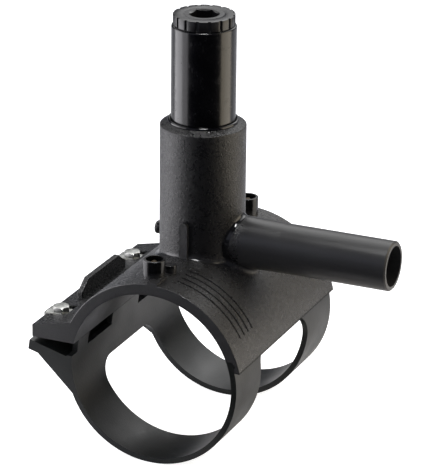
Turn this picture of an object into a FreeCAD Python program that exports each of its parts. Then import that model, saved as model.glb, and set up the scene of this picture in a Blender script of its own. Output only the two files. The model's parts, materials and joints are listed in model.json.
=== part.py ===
"""Electrofusion valve tapping saddle for a plastic main, with a spigot outlet.

All sizes are in millimetres. The origin is on the main's axis, straight below the tower.
X runs towards the outlet spigot, Y runs along the main and Z runs up the tower.
"""
import FreeCAD, Part
import math
import os

# Main pipe and saddle shell
main_diameter = 110.0
main_clearance = 0.2
saddle_length = 156.0
saddle_wall = 7.0
saddle_edge_height = 13.0
skirt_step = 2.6
skirt_edge_offset = 43.5
rim_width = 9.0
rim_edge_round = 0.5
weld_groove_width = 1.4
weld_groove_depth = 1.0
weld_groove_pitch = 6.2
weld_groove_count = 4
weld_groove_from_rim = 15.0
weld_groove_low_angle = 29.0
weld_groove_high_angle = 80.0

# Tower and outlet spigot
tower_diameter = 55.0
tower_height = 75.0
shoulder_rise = 3.4
shoulder_edge_round = 0.8
shoulder_mouth_chamfer = 0.9
spigot_diameter = 32.0
spigot_wall = 3.0
spigot_reach = 131.0
spigot_straight_reach = 58.0
spigot_root_diameter = 35.0
spigot_axis_rise = 6.9
spigot_chamfer = 0.9
foot_fillet = 2.5
flow_bore_diameter = 28.0
gate_knob_diameter = 8.6
gate_knob_height = 4.8
tower_rib_width = 5.6
tower_rib_proud = 2.4
tower_rib_rise = 17.5

# Valve tube and crown ring
tube_diameter = 41.2
tube_rise = 62.0
tube_socket_depth = 35.0
tube_edge_round = 1.1
tube_seal_section = 1.8
tube_seal_low_rise = 5.5
tube_seal_high_rise = 11.0
crown_diameter = 39.2
crown_rim_height = 6.4
crown_plug_wall = 4.4
crown_plug_depth = 9.3
crown_seam = 0.5
crown_seam_depth = 0.9
crown_edge_chamfer = 0.7
crown_slot_count = 16
crown_slot_width = 2.0
crown_slot_depth = 1.2

# Spindle
key_width = 17.0
key_depth = 12.0
key_socket_wall = 3.1
key_lead_in = 0.8
key_turn = 24.0
spindle_collar_diameter = 31.0
spindle_collar_length = 20.5
spindle_holder_gap = 9.2
drive_bar_width = 12.0
drive_bar_grip = 5.0
spindle_seal_section = 2.4
spindle_seal_side_gap = 0.2
spindle_seal_floor_gap = 0.3
spindle_seal_low_rise = 6.0
spindle_seal_high_rise = 13.0
thrust_washer_thickness = 1.4
thrust_washer_land = 2.1

# Cutter, its threaded holder and the guide bush
cutter_diameter = 23.0
cutter_wall = 2.0
cutter_travel = 42.0
cutter_park_rise = 1.0
cutter_tooth_count = 8
cutter_tooth_depth = 2.4
cutter_gap_share = 0.8
holder_diameter = 28.0
holder_length = 16.0
holder_socket_depth = 6.0
bush_wall = 2.95
bush_lip = 1.8
bush_lip_clearance = 0.6
bush_seat_rise = 2.0
bush_head_room = 3.0
bush_collar_thickness = 3.0

# Screw flanges and the lower clamp
flange_reach = 21.1
flange_thickness = 8.1
flange_edge_round = 0.8
flange_root_rise = 6.0
clamp_wall = 3.6
clamp_flange_overhang = 2.0
clamp_flange_thickness = 6.6
clamp_tip_gap = 2.4
clamp_root_gap = 10.9
band_width = 39.0
window_front_corner_radius = 8.0
window_rear_corner_radius = 20.0
window_left_height = 14.0
window_left_corner_radius = 14.0
clamp_lip_gap = 0.3
hook_height = 7.0
hook_bead_radius = 1.3
hook_clearance = 0.2
lip_end_width = 23.0
lip_end_inset = 8.0
lip_middle_half_width = 20.0
lip_slot_rise = 2.0
gusset_thickness = 5.0
gusset_recess = 2.0
gusset_drop = 26.0
gusset_inner_inset = 39.0
fin_thickness = 4.0
fin_height = 14.0
fin_end_inset = 31.0
fin_edge_round = 0.8
fin_end_slope = 10.0
fin_edge_inset = 9.5

# Clamp screws
screw_diameter = 6.0
screw_hole_clearance = 0.3
screw_inset = 8.4
screw_end_distance = 25.0
screw_head_width = 10.0
screw_head_height = 4.0
screw_head_crown_diameter = 9.2
screw_tail = 3.0
washer_thickness = 1.2
washer_half_width = 6.5
washer_tab_drop = 5.5
washer_pad_margin = 1.5
nut_width = 10.0
nut_height = 5.0
nut_boss_radius = 7.6
nut_seat_depth = 11.4
nut_pocket_clearance = 0.15

# Fusion terminals, indicators and heating coil
terminal_offset = 4.0
terminal_end_distance = 14.0
shroud_diameter = 14.0
shroud_wall = 1.5
shroud_rise = 12.0
shroud_floor_rise = 1.2
shroud_edge_round = 0.4
terminal_pin_diameter = 4.0
terminal_pin_rise = 9.5
terminal_pin_seat = 2.5
terminal_seat_diameter = 3.0
web_width = 7.0
web_offset = 5.0
web_height = 1.6
indicator_offset = -1.5
indicator_spacing = 12.0
indicator_boss_diameter = 8.0
indicator_boss_rise = 5.0
indicator_diameter = 3.0
indicator_length = 7.0
coil_inner_radius = 20.0
coil_pitch = 3.2
coil_turns = 6
coil_wire = 1.0
coil_thickness = 0.7

# Fits
running_clearance = 0.05
seat_clearance = 0.05

# Places that follow from the sizes above
bore_radius = main_diameter / 2 + main_clearance
shell_radius = bore_radius + saddle_wall
half_length = saddle_length / 2
spigot_radius = spigot_diameter / 2
spigot_root_radius = spigot_root_diameter / 2
spigot_bore_radius = spigot_radius - spigot_wall
spigot_axis = shell_radius + spigot_axis_rise
tower_radius = tower_diameter / 2
tower_rim = spigot_axis + tower_height
shoulder_top = tower_rim + shoulder_rise
tube_radius = tube_diameter / 2
tube_foot = shoulder_top - tube_socket_depth
tube_top = shoulder_top + tube_rise
holder_radius = holder_diameter / 2
bush_bore_radius = holder_radius + running_clearance
bush_radius = bush_bore_radius + bush_wall
bush_foot = spigot_axis + spigot_bore_radius + bush_seat_rise
holder_foot = bush_foot + bush_lip + cutter_travel
holder_top = holder_foot + holder_length
bush_top = holder_top + bush_head_room
cutter_radius = cutter_diameter / 2
cutter_foot = bush_foot + cutter_park_rise
cutter_top = holder_foot + holder_socket_depth
key_corner_radius = key_width / math.sqrt(3.0)
neck_radius = key_corner_radius + key_socket_wall
collar_radius = spindle_collar_diameter / 2
crown_radius = crown_diameter / 2
crown_foot = tube_top - crown_plug_depth
crown_plug_radius = neck_radius + running_clearance + crown_plug_wall
crown_rim_foot = tube_top + crown_seam
crown_top = crown_rim_foot + crown_rim_height
collar_top = crown_foot - 4 * running_clearance
collar_foot = collar_top - spindle_collar_length
washer_seat = collar_foot - thrust_washer_thickness
journal_foot = holder_top + spindle_holder_gap
drive_bar_foot = bush_foot + bush_lip + holder_length - drive_bar_grip
spindle_groove_radius = collar_radius - spindle_seal_section - spindle_seal_floor_gap
flange_edge = shell_radius + flange_reach
flange_top = saddle_edge_height + flange_thickness
clamp_radius = bore_radius + clamp_wall
screw_axis = flange_edge - screw_inset
clamp_edge = flange_edge + clamp_flange_overhang
clamp_tip_top = saddle_edge_height - clamp_tip_gap
clamp_root_top = saddle_edge_height - clamp_root_gap
clamp_lip_top = saddle_edge_height - clamp_lip_gap
window_half_width = half_length - band_width
gusset_inner_station = half_length - gusset_inner_inset
screw_station = half_length - screw_end_distance
fin_half_length = screw_station - fin_end_inset
terminal_station = half_length - terminal_end_distance
indicator_station = terminal_station - indicator_spacing
coil_roof = bore_radius + running_clearance + coil_thickness


def turned(profile, x=0.0, y=0.0):
    """A solid turned about a vertical axis from (radius, height) points."""
    points = [FreeCAD.Vector(radius, 0, height) for radius, height in profile]
    face = Part.Face(Part.makePolygon(points + points[:1]))
    solid = face.revolve(FreeCAD.Vector(0, 0, 0), FreeCAD.Vector(0, 0, 1), 360)
    solid.translate(FreeCAD.Vector(x, y, 0))
    return solid


def upright(radius, low, high, x=0.0, y=0.0):
    """A vertical cylinder between two heights."""
    return Part.makeCylinder(radius, high - low, FreeCAD.Vector(x, y, low))


def along_main(radius, start, end, x=0.0, z=0.0):
    """A cylinder that lies along the main between two stations."""
    direction = FreeCAD.Vector(0, 1, 0)
    return Part.makeCylinder(radius, end - start, FreeCAD.Vector(x, start, z), direction)


def along_outlet(radius, start, end, height):
    """A cylinder that lies along the outlet between two reaches."""
    direction = FreeCAD.Vector(1, 0, 0)
    return Part.makeCylinder(radius, end - start, FreeCAD.Vector(start, 0, height), direction)


def block(low, high):
    """A box between two opposite corners."""
    size = [b - a for a, b in zip(low, high)]
    return Part.makeBox(size[0], size[1], size[2], FreeCAD.Vector(*low))


def section_along_main(outline, start, end):
    """A bar along the main whose cross-section is a list of (x, z) points."""
    points = [FreeCAD.Vector(x, start, z) for x, z in outline]
    face = Part.Face(Part.makePolygon(points + points[:1]))
    return face.extrude(FreeCAD.Vector(0, end - start, 0))


def section_across_main(outline, start, end):
    """A bar across the main whose cross-section is a list of (y, z) points."""
    points = [FreeCAD.Vector(start, y, z) for y, z in outline]
    face = Part.Face(Part.makePolygon(points + points[:1]))
    return face.extrude(FreeCAD.Vector(end - start, 0, 0))


def hexagon_bar(width, low, high, x=0.0, y=0.0, turn=0.0):
    """An upright hexagon bar with the given width across its flats."""
    radius = width / math.sqrt(3.0)
    angles = [math.radians(turn + 60 * corner) for corner in range(6)]
    points = [FreeCAD.Vector(x + radius * math.cos(a), y + radius * math.sin(a), low) for a in angles]
    face = Part.Face(Part.makePolygon(points + points[:1]))
    return face.extrude(FreeCAD.Vector(0, 0, high - low))


def ring(section, outer_radius, height):
    """A round seal whose outside has the given radius."""
    centre = FreeCAD.Vector(0, 0, height)
    return Part.makeTorus(outer_radius - section / 2, section / 2, centre)


def pipe_wall(inner, outer, start, end):
    """A length of pipe wall round the main's axis."""
    return along_main(outer, start, end).cut(along_main(inner, start - 1, end + 1))


def rounded(solid, radius, wanted):
    """The solid with a small round on every edge whose middle passes the test."""
    return solid.makeFillet(radius, [edge for edge in solid.Edges if wanted(edge.CenterOfMass)])


def rounded_post(radius, top, edge_round, x, y):
    """An upright post whose top edge is rounded."""
    return rounded(upright(radius, 0, top, x, y), edge_round, lambda middle: middle.z > top - 0.01)


def both_ends(x, y):
    """The two places of a feature that repeats half a turn about the tower."""
    return [(-x, -y), (x, y)]


def saddle_shell():
    """The shell over the main: full rims, and a thinner skirt on the screw side."""
    shell = pipe_wall(bore_radius, shell_radius, -half_length, half_length)
    reach = shell_radius + 1
    below = block((-reach, -half_length - 1, -reach), (reach, half_length + 1, saddle_edge_height))
    shell = shell.cut(below)
    rims = []
    for edge in shell.Edges:
        point = edge.valueAt(edge.FirstParameter)
        far = math.hypot(point.x, point.z)
        if edge.Curve.TypeId == "Part::GeomCircle" and far > shell_radius - 0.01:
            rims.append(edge)
    shell = shell.makeFillet(rim_edge_round, rims)
    inner_end = half_length - rim_width
    step = pipe_wall(shell_radius - skirt_step, shell_radius + 1, -inner_end, inner_end)
    step = step.common(block((-reach, -inner_end, 0), (-skirt_edge_offset, inner_end, reach)))
    return shell.cut(step)


def upper_flange():
    """The ledge that the clamp screws pull on, with its stiffening fin."""
    outline = [
        (-flange_edge, saddle_edge_height),
        (-flange_edge, flange_top),
        (-bore_radius, flange_top + flange_root_rise),
        (-bore_radius, saddle_edge_height),
    ]
    flange = section_along_main(outline, -half_length, half_length)
    flange = rounded(flange, flange_edge_round, lambda middle: middle.x < 0.01 - flange_edge)
    fin_top = flange_top + fin_height
    fin_outline = [
        (-fin_half_length - fin_end_slope, flange_top),
        (-fin_half_length - fin_end_slope, flange_top + fin_height / 2),
        (-fin_half_length, fin_top),
        (fin_half_length, fin_top),
        (fin_half_length + fin_end_slope, flange_top + fin_height / 2),
        (fin_half_length + fin_end_slope, flange_top),
    ]
    fin_face = -flange_edge + fin_edge_inset
    fin = section_across_main(fin_outline, fin_face, fin_face + fin_thickness)
    fin = rounded(fin, fin_edge_round, lambda middle: middle.z > flange_top + 0.01)
    flange = flange.fuse(fin)
    pad_half = washer_half_width + washer_pad_margin
    for station in (-screw_station, screw_station):
        low = (-flange_edge - 1, station - pad_half, flange_top)
        high = (-screw_axis + pad_half, station + pad_half, flange_top + flange_root_rise)
        flange = flange.cut(block(low, high))
    return flange


def foot_edge(edge):
    """True for an edge where the tower, the spigot and the shell run into each other."""
    hits = []
    taper = (spigot_root_radius - spigot_radius) / spigot_straight_reach
    for share in (0.25, 0.5, 0.75):
        start, end = edge.ParameterRange
        point = edge.valueAt(start + share * (end - start))
        on_tower = abs(math.hypot(point.x, point.y) - tower_radius) < 0.01
        on_shell = abs(math.hypot(point.x, point.z) - shell_radius) < 0.01
        neck = max(spigot_radius, spigot_root_radius - taper * point.x)
        on_spigot = abs(math.hypot(point.y, point.z - spigot_axis) - neck) < 0.01
        hits.append(on_tower + on_shell + on_spigot >= 2)
    return all(hits)


def tower_and_spigot():
    """The upright tower and the outlet spigot, solid, before they are bored."""
    tower = turned([
        (0, 0),
        (tower_radius, 0),
        (tower_radius, tower_rim),
        (tube_radius + seat_clearance, shoulder_top),
        (0, shoulder_top),
    ])
    tower = rounded(tower, shoulder_edge_round, lambda middle: abs(middle.z - tower_rim) < 0.01)
    spigot = along_outlet(spigot_radius, 0, spigot_reach, spigot_axis)
    rim_edges = [edge for edge in spigot.Edges if abs(edge.CenterOfMass.x - spigot_reach) < 0.01]
    spigot = spigot.makeChamfer(spigot_chamfer, rim_edges)
    start = FreeCAD.Vector(0, 0, spigot_axis)
    outwards = FreeCAD.Vector(1, 0, 0)
    neck = Part.makeCone(spigot_root_radius, spigot_radius, spigot_straight_reach, start, outwards)
    return tower.fuse(neck).fuse(spigot)


def tower_details():
    """The gate knob opposite the outlet and the upright rib beside the tower's foot."""
    knob_radius = gate_knob_diameter / 2
    knob = along_outlet(knob_radius, -tower_radius - gate_knob_height, 0, spigot_axis)
    knob_edges = [edge for edge in knob.Edges if edge.CenterOfMass.x < -tower_radius]
    knob = knob.makeFillet(gate_knob_height / 4, knob_edges)
    rib_half = tower_rib_width / 2
    rib_top = spigot_axis + tower_rib_rise - rib_half
    face = -tower_radius - tower_rib_proud
    rib = block((-rib_half, face, 0), (rib_half, 0, rib_top))
    rib = rib.fuse(along_main(rib_half, face, 0, z=rib_top))
    return knob.fuse(rib)


def terminal_shrouds():
    """The two open tubes round the terminals, each with a low pad to the rim."""
    solids = []
    radius = shroud_diameter / 2
    top = shell_radius + shroud_rise
    for x, y in both_ends(terminal_offset, terminal_station):
        solids.append(rounded_post(radius, top, shroud_edge_round, x, y))
        outwards = math.copysign(1.0, y)
        middle = x - outwards * web_offset
        low = (middle - web_width / 2, min(y, outwards * half_length), 0)
        high = (middle + web_width / 2, max(y, outwards * half_length), shell_radius + web_height)
        solids.append(block(low, high))
    return solids


def indicator_bosses():
    """The two low bosses that guide the fusion indicators."""
    radius = indicator_boss_diameter / 2
    top = shell_radius + indicator_boss_rise
    places = both_ends(indicator_offset, indicator_station)
    return [rounded_post(radius, top, shroud_edge_round, x, y) for x, y in places]


def weld_grooves():
    """The row of fine grooves that run round the shell behind the front rim."""
    grooves = []
    reach = 2 * shell_radius
    low = math.radians(weld_groove_low_angle)
    high = math.radians(weld_groove_high_angle)
    wedge_outline = [(0, 0)]
    wedge_outline += [(reach * math.cos(a), reach * math.sin(a)) for a in (low, high)]
    for index in range(weld_groove_count):
        start = -half_length + weld_groove_from_rim + index * weld_groove_pitch
        end = start + weld_groove_width
        groove = pipe_wall(shell_radius - weld_groove_depth, shell_radius + 1, start, end)
        grooves.append(groove.common(section_along_main(wedge_outline, start, end)))
    return grooves


def valve_bores():
    """All that is bored out of the tower, the spigot, the shrouds and the bosses."""
    seat = tube_foot - bush_collar_thickness
    mouth = tube_radius + seat_clearance
    mouth_low = shoulder_top - shoulder_mouth_chamfer
    bores = [
        upright(flow_bore_diameter / 2, 0, seat),
        upright(bush_radius + seat_clearance, bush_foot, seat + 1),
        upright(mouth, seat, shoulder_top + 1),
        turned([(0, mouth_low), (mouth, mouth_low), (mouth + 2 * shoulder_mouth_chamfer, shoulder_top),
                (0, shoulder_top)]),
        along_outlet(spigot_bore_radius, 0, spigot_reach + 1, spigot_axis),
    ]
    for x, y in both_ends(terminal_offset, terminal_station):
        floor = shell_radius + shroud_floor_rise
        radius = shroud_diameter / 2 - shroud_wall
        bores.append(upright(radius, floor, floor + shroud_rise, x, y))
        seat_radius = terminal_seat_diameter / 2
        bores.append(upright(seat_radius, floor - terminal_pin_seat, floor + 1, x, y))
    for x, y in both_ends(indicator_offset, indicator_station):
        top = shell_radius + indicator_boss_rise
        radius = indicator_diameter / 2 + running_clearance
        bores.append(upright(radius, top - indicator_length, top + 1, x, y))
    return bores


def hook_recess():
    """The undercut in the shell's outlet-side edge that takes the clamp's hooks."""
    wall = clamp_radius + hook_clearance
    top = saddle_edge_height + hook_height + hook_clearance
    recess = pipe_wall(bore_radius - 1, wall, -half_length - 1, half_length + 1)
    low = (0, -half_length - 1, saddle_edge_height - 1)
    recess = recess.common(block(low, (wall, half_length + 1, top)))
    x, z = hook_bead_place()
    radius = hook_bead_radius + hook_clearance
    return recess.fuse(along_main(radius, -half_length - 1, half_length + 1, x, z))


def hook_bead_place():
    """The centre of the bead on the clamp's outer face, near the end of its hook."""
    z = saddle_edge_height + hook_height - 2 * hook_bead_radius
    return math.sqrt(clamp_radius ** 2 - z ** 2), z


def coil_path(low, high):
    """A flat spiral of half rings, cut to a layer of the wall between two radii."""
    reach = 2 * shell_radius
    centre_shift = coil_pitch / 2
    spiral = []
    for index in range(2 * coil_turns):
        x = centre_shift * (index % 2)
        radius = coil_inner_radius + index * centre_shift
        whole = upright(radius + coil_wire / 2, 0, reach, x)
        whole = whole.cut(upright(radius - coil_wire / 2, -1, reach + 1, x))
        side = (-1) ** index
        y_low, y_high = sorted((0, side * reach))
        spiral.append(whole.common(block((-reach, y_low, 0), (reach, y_high, reach))))
    path = spiral[0].fuse(spiral[1:]).removeSplitter()
    return path.common(pipe_wall(low, high, -half_length, half_length))


def coil_recess():
    """The shallow round recess in the fusion face that the coil fills level."""
    outer = coil_inner_radius + (coil_turns + 1) * coil_pitch
    inner = coil_inner_radius - coil_pitch
    disc = upright(outer, 0, shell_radius).cut(upright(inner, -1, shell_radius + 1))
    return disc.common(pipe_wall(bore_radius - 1, coil_roof, -outer, outer))


def saddle_body():
    """The one-piece moulding: shell, tower, spigot, flange, shrouds and bosses."""
    body = saddle_shell().fuse(tower_and_spigot()).removeSplitter()
    main_space = along_main(bore_radius, -half_length - 1, half_length + 1)
    body = body.cut(main_space)
    reach = shell_radius + flange_reach
    low = (-reach, -half_length - 1, -reach)
    body = body.cut(block(low, (reach, half_length + 1, saddle_edge_height)))
    body = body.makeFillet(foot_fillet, [edge for edge in body.Edges if foot_edge(edge)])
    extras = [upper_flange(), tower_details()] + terminal_shrouds() + indicator_bosses()
    for extra in extras:
        body = body.fuse(extra.cut(main_space))
    for bore in valve_bores() + weld_grooves() + [hook_recess(), coil_recess()]:
        body = body.cut(bore)
    for station in (-screw_station, screw_station):
        radius = screw_diameter / 2 + screw_hole_clearance
        body = body.cut(upright(radius, 0, flange_top + 1, -screw_axis, station))
    return body.removeSplitter()


def clamp_window():
    """The large opening between the clamp's two bands, cut from below and both sides."""
    reach = clamp_edge + 1
    corner = clamp_radius * math.sqrt(0.5)
    half = window_half_width
    below = block((-corner, -half, -reach), (corner, half, -corner / 2))
    top = -window_left_height
    left = block((-reach, -half, -corner), (-corner / 2, half, top))
    left_edges = []
    for edge in left.Edges:
        centre = edge.CenterOfMass
        if abs(centre.z - top) < 0.01 and abs(abs(centre.y) - half) < 0.01:
            left_edges.append(edge)
    left = left.makeFillet(window_left_corner_radius, left_edges)
    top = saddle_edge_height
    outlet = block((corner / 2, -half, -corner), (reach, half, top))
    for side, radius in ((-1, window_front_corner_radius), (1, window_rear_corner_radius)):
        outlet = rounded(
            outlet, radius,
            lambda middle: abs(middle.z - top) < 0.01 and abs(middle.y - side * half) < 0.01)
    neck_front = window_front_corner_radius - half
    neck_rear = half - window_rear_corner_radius
    neck = block((corner / 2, neck_front, 0), (reach, neck_rear, 2 * top))
    return [below, left, outlet.fuse(neck)]


def clamp_lip():
    """The wall that rises behind the screw flange to the saddle's edge, in three lengths."""
    lip = pipe_wall(bore_radius, clamp_radius, -half_length, half_length)
    low = clamp_root_top - clamp_flange_thickness
    lip = lip.common(block((-clamp_radius, -half_length, low), (0, half_length, clamp_lip_top)))
    slot_low = clamp_root_top + lip_slot_rise
    slot_end = half_length - lip_end_width
    lip_end = half_length - lip_end_inset
    gaps = [(-half_length, -lip_end), (-slot_end, -lip_middle_half_width)]
    for start, end in gaps + [(-end, -start) for start, end in gaps]:
        lip = lip.cut(block((-clamp_radius - 1, start, slot_low), (0, end, clamp_lip_top + 1)))
    return lip


def clamp_flange():
    """The clamp's sloping screw flange with its gussets and nut bosses."""
    root = -bore_radius + 1
    bottom = clamp_root_top - clamp_flange_thickness
    outline = [
        (-clamp_edge, clamp_tip_top),
        (root, clamp_root_top),
        (root, bottom),
        (-clamp_edge - 1, clamp_tip_top - clamp_flange_thickness),
    ]
    flange = section_along_main(outline, -half_length, half_length)
    flange = rounded(flange, flange_edge_round, lambda middle: middle.x < 0.01 - clamp_edge)
    gusset_outline = [
        (-clamp_edge + 1, clamp_tip_top - clamp_flange_thickness + 1),
        (root, clamp_root_top - 1),
        (root, clamp_root_top - gusset_drop),
    ]
    outer = half_length - gusset_recess - gusset_thickness / 2
    for centre in (-outer, -gusset_inner_station, gusset_inner_station, outer):
        start = centre - gusset_thickness / 2
        flange = flange.fuse(section_along_main(gusset_outline, start, start + gusset_thickness))
    for station in (-screw_station, screw_station):
        boss = upright(nut_boss_radius, nut_pocket_mouth(), clamp_root_top, -screw_axis, station)
        flange = flange.fuse(boss)
    return flange


def nut_pocket_roof():
    """The height of the face that the nut pulls against."""
    return clamp_tip_top - nut_seat_depth


def nut_pocket_mouth():
    """The height of the open end of the nut's pocket."""
    return nut_pocket_roof() - nut_height - nut_pocket_clearance


def clamp_hooks():
    """The beaded ends on the outlet side that hang in the shell's undercut."""
    top = saddle_edge_height + hook_height
    wall = pipe_wall(bore_radius, clamp_radius, -half_length, half_length)
    hooks = wall.common(block((0, -half_length, 0), (clamp_radius, half_length, top)))
    x, z = hook_bead_place()
    return hooks.fuse(along_main(hook_bead_radius, -half_length, half_length, x, z))


def lower_clamp():
    """The lower half of the clamp: two bands joined by the screw flange."""
    reach = clamp_edge + 2
    wall = pipe_wall(bore_radius, clamp_radius, -half_length, half_length)
    wall = wall.common(block((-reach, -half_length, -reach), (0, half_length, clamp_root_top)).fuse(
        block((0, -half_length, -reach), (reach, half_length, 0))))
    clamp = wall.fuse(clamp_hooks()).fuse(clamp_lip()).fuse(clamp_flange())
    clamp = clamp.cut(along_main(bore_radius, -half_length - 1, half_length + 1))
    for cutter in clamp_window():
        clamp = clamp.cut(cutter)
    for station in (-screw_station, screw_station):
        radius = screw_diameter / 2 + screw_hole_clearance
        low = nut_pocket_mouth()
        clamp = clamp.cut(upright(radius, low, clamp_tip_top + 1, -screw_axis, station))
        width = nut_width + 2 * nut_pocket_clearance
        clamp = clamp.cut(hexagon_bar(width, low - 1, nut_pocket_roof(), -screw_axis, station))
    return clamp.removeSplitter()


def clamp_screw(station):
    """A hexagon screw with a rounded head, its thread left plain."""
    head_foot = flange_top + washer_thickness
    head_top = head_foot + screw_head_height
    head = hexagon_bar(screw_head_width, head_foot, head_top, -screw_axis, station)
    corner = screw_head_width / math.sqrt(3.0)
    dome = turned([
        (0, head_foot),
        (corner, head_foot),
        (corner, head_top - screw_head_height / 5),
        (screw_head_crown_diameter / 2, head_top),
        (0, head_top),
    ], -screw_axis, station)
    head = head.common(dome)
    tail = nut_pocket_mouth() - screw_tail
    return head.fuse(upright(screw_diameter / 2, tail, head_foot, -screw_axis, station))


def clamp_washer(station):
    """A square washer whose tab is bent down over the flange's edge."""
    half = washer_half_width
    low = flange_top
    high = flange_top + washer_thickness
    outer = -flange_edge - washer_thickness
    plate = block((outer, station - half, low), (-screw_axis + half, station + half, high))
    tab_low = (outer, station - half, flange_top - washer_tab_drop)
    plate = plate.fuse(block(tab_low, (-flange_edge, station + half, high)))
    radius = screw_diameter / 2 + screw_hole_clearance
    hole = upright(radius, low - 1, high + 1, -screw_axis, station)
    return plate.cut(hole).removeSplitter()


def clamp_nut(station):
    """The captive hexagon nut under the clamp's flange."""
    roof = nut_pocket_roof()
    nut = hexagon_bar(nut_width, roof - nut_height, roof, -screw_axis, station)
    radius = screw_diameter / 2 + seat_clearance
    return nut.cut(upright(radius, roof - nut_height - 1, roof + 1, -screw_axis, station))


def valve_tube():
    """The glossy upper tube, stepped inside for the bush, the spindle and the crown."""
    wide_bore = bush_radius + seat_clearance
    journal_bore = neck_radius + running_clearance
    collar_bore = collar_radius + running_clearance
    plug_bore = crown_plug_radius + seat_clearance
    tube = turned([
        (wide_bore, tube_foot),
        (tube_radius, tube_foot),
        (tube_radius, tube_top),
        (plug_bore, tube_top),
        (plug_bore, crown_foot - 2 * running_clearance),
        (collar_bore, crown_foot - 2 * running_clearance),
        (collar_bore, washer_seat),
        (journal_bore, washer_seat),
        (journal_bore, bush_top + seat_clearance),
        (wide_bore, bush_top + seat_clearance),
    ])
    top_edges = []
    for edge in tube.Edges:
        box = edge.BoundBox
        if abs(box.ZMin - tube_top) < 0.01 and abs(box.ZMax - tube_top) < 0.01:
            if abs(box.XMax - tube_radius) < 0.01:
                top_edges.append(edge)
    tube = tube.makeFillet(tube_edge_round, top_edges)
    for height in tube_seal_heights():
        half = tube_seal_section / 2
        groove_radius = tube_radius - tube_seal_section
        groove = upright(tube_radius + 1, height - half, height + half)
        tube = tube.cut(groove.cut(upright(groove_radius, height - half - 1, height + half + 1)))
    return tube


def tube_seal_heights():
    """The heights of the two seals between the tube and the tower."""
    return [tube_foot + tube_seal_low_rise, tube_foot + tube_seal_high_rise]


def spindle_seal_heights():
    """The heights of the two seals on the spindle's collar."""
    return [collar_foot + spindle_seal_low_rise, collar_foot + spindle_seal_high_rise]


def crown_ring():
    """The notched ring that is screwed into the tube and holds the spindle down."""
    bore = neck_radius + running_clearance
    seam_radius = crown_radius - crown_seam_depth
    crown = turned([
        (bore, crown_foot),
        (crown_plug_radius, crown_foot),
        (crown_plug_radius, tube_top),
        (seam_radius, tube_top),
        (seam_radius, crown_rim_foot),
        (crown_radius, crown_rim_foot),
        (crown_radius, crown_top - crown_edge_chamfer),
        (crown_radius - crown_edge_chamfer, crown_top),
        (bore, crown_top),
    ])
    half = crown_slot_width / 2
    inner = crown_radius - crown_slot_depth
    for index in range(crown_slot_count):
        slot = block((inner, -half, crown_rim_foot), (crown_radius + 1, half, crown_top + 1))
        slot.rotate(FreeCAD.Vector(0, 0, 0), FreeCAD.Vector(0, 0, 1), 360 * (index + 0.5) / crown_slot_count)
        crown = crown.cut(slot)
    return crown


def spindle():
    """The operating spindle: socket head, sealed collar, journal and drive bar."""
    journal = neck_radius
    groove_half = spindle_seal_section / 2 + spindle_seal_side_gap
    low_seal, high_seal = spindle_seal_heights()
    profile = [
        (0, journal_foot),
        (journal, journal_foot),
        (journal, collar_foot),
        (collar_radius, collar_foot),
    ]
    for height in (low_seal, high_seal):
        profile.append((collar_radius, height - groove_half))
        profile.append((spindle_groove_radius, height - groove_half))
        profile.append((spindle_groove_radius, height + groove_half))
        profile.append((collar_radius, height + groove_half))
    profile += [
        (collar_radius, collar_top),
        (neck_radius, collar_top),
        (neck_radius, crown_top),
        (0, crown_top),
    ]
    body = turned(profile)
    body = body.fuse(hexagon_bar(drive_bar_width, drive_bar_foot, journal_foot + 1))
    socket = hexagon_bar(key_width, crown_top - key_depth, crown_top + 1, turn=key_turn)
    lead_in = turned([
        (0, crown_top - key_lead_in),
        (key_width / 2, crown_top - key_lead_in),
        (key_corner_radius, crown_top),
        (0, crown_top),
    ])
    return body.cut(socket).cut(lead_in)


def thrust_washer():
    """The plain washer between the tube's shoulder and the spindle's collar."""
    inner = neck_radius + 4 * running_clearance
    outer = inner + thrust_washer_land
    washer = upright(outer, washer_seat, collar_foot)
    return washer.cut(upright(inner, washer_seat - 1, collar_foot + 1))


def guide_bush():
    """The brass bush whose thread feeds the holder down, with a stop lip at its foot."""
    lip_radius = cutter_radius + bush_lip_clearance
    seat = tube_foot - bush_collar_thickness
    return turned([
        (lip_radius, bush_foot),
        (bush_radius, bush_foot),
        (bush_radius, seat),
        (tube_radius, seat),
        (tube_radius, tube_foot),
        (bush_radius, tube_foot),
        (bush_radius, bush_top),
        (bush_bore_radius, bush_top),
        (bush_bore_radius, bush_foot + bush_lip),
        (lip_radius, bush_foot + bush_lip),
    ])


def cutter_holder():
    """The threaded holder that slides on the drive bar and carries the cutter."""
    holder = upright(holder_radius, holder_foot, holder_top)
    socket = upright(cutter_radius + seat_clearance, holder_foot - 1, cutter_top)
    width = drive_bar_width + 2 * running_clearance
    return holder.cut(socket).cut(hexagon_bar(width, holder_foot, holder_top + 1))


def cutter():
    """The hollow steel cutter with a crown of teeth."""
    tube = upright(cutter_radius, cutter_foot, cutter_top)
    tube = tube.cut(upright(cutter_radius - cutter_wall, cutter_foot - 1, cutter_top + 1))
    half = math.pi * cutter_radius / cutter_tooth_count * cutter_gap_share
    for index in range(cutter_tooth_count):
        outline = [(-half, cutter_foot - 0.1), (half, cutter_foot - 0.1)]
        outline.append((half, cutter_foot + cutter_tooth_depth))
        gap = section_across_main(outline, 0, cutter_radius + 1)
        turn = 360 * index / cutter_tooth_count
        gap.rotate(FreeCAD.Vector(0, 0, 0), FreeCAD.Vector(0, 0, 1), turn)
        tube = tube.cut(gap)
    return tube


def terminal_pin(x, y):
    """A brass contact pin with a rounded tip, standing in its shroud."""
    floor = shell_radius + shroud_floor_rise
    radius = terminal_pin_diameter / 2
    top = floor + terminal_pin_rise
    pin = upright(radius, floor, top, x, y)
    pin = rounded(pin, radius / 2, lambda middle: middle.z > top - 0.01)
    return pin.fuse(upright(terminal_seat_diameter / 2, floor - terminal_pin_seat, floor, x, y))


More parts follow.
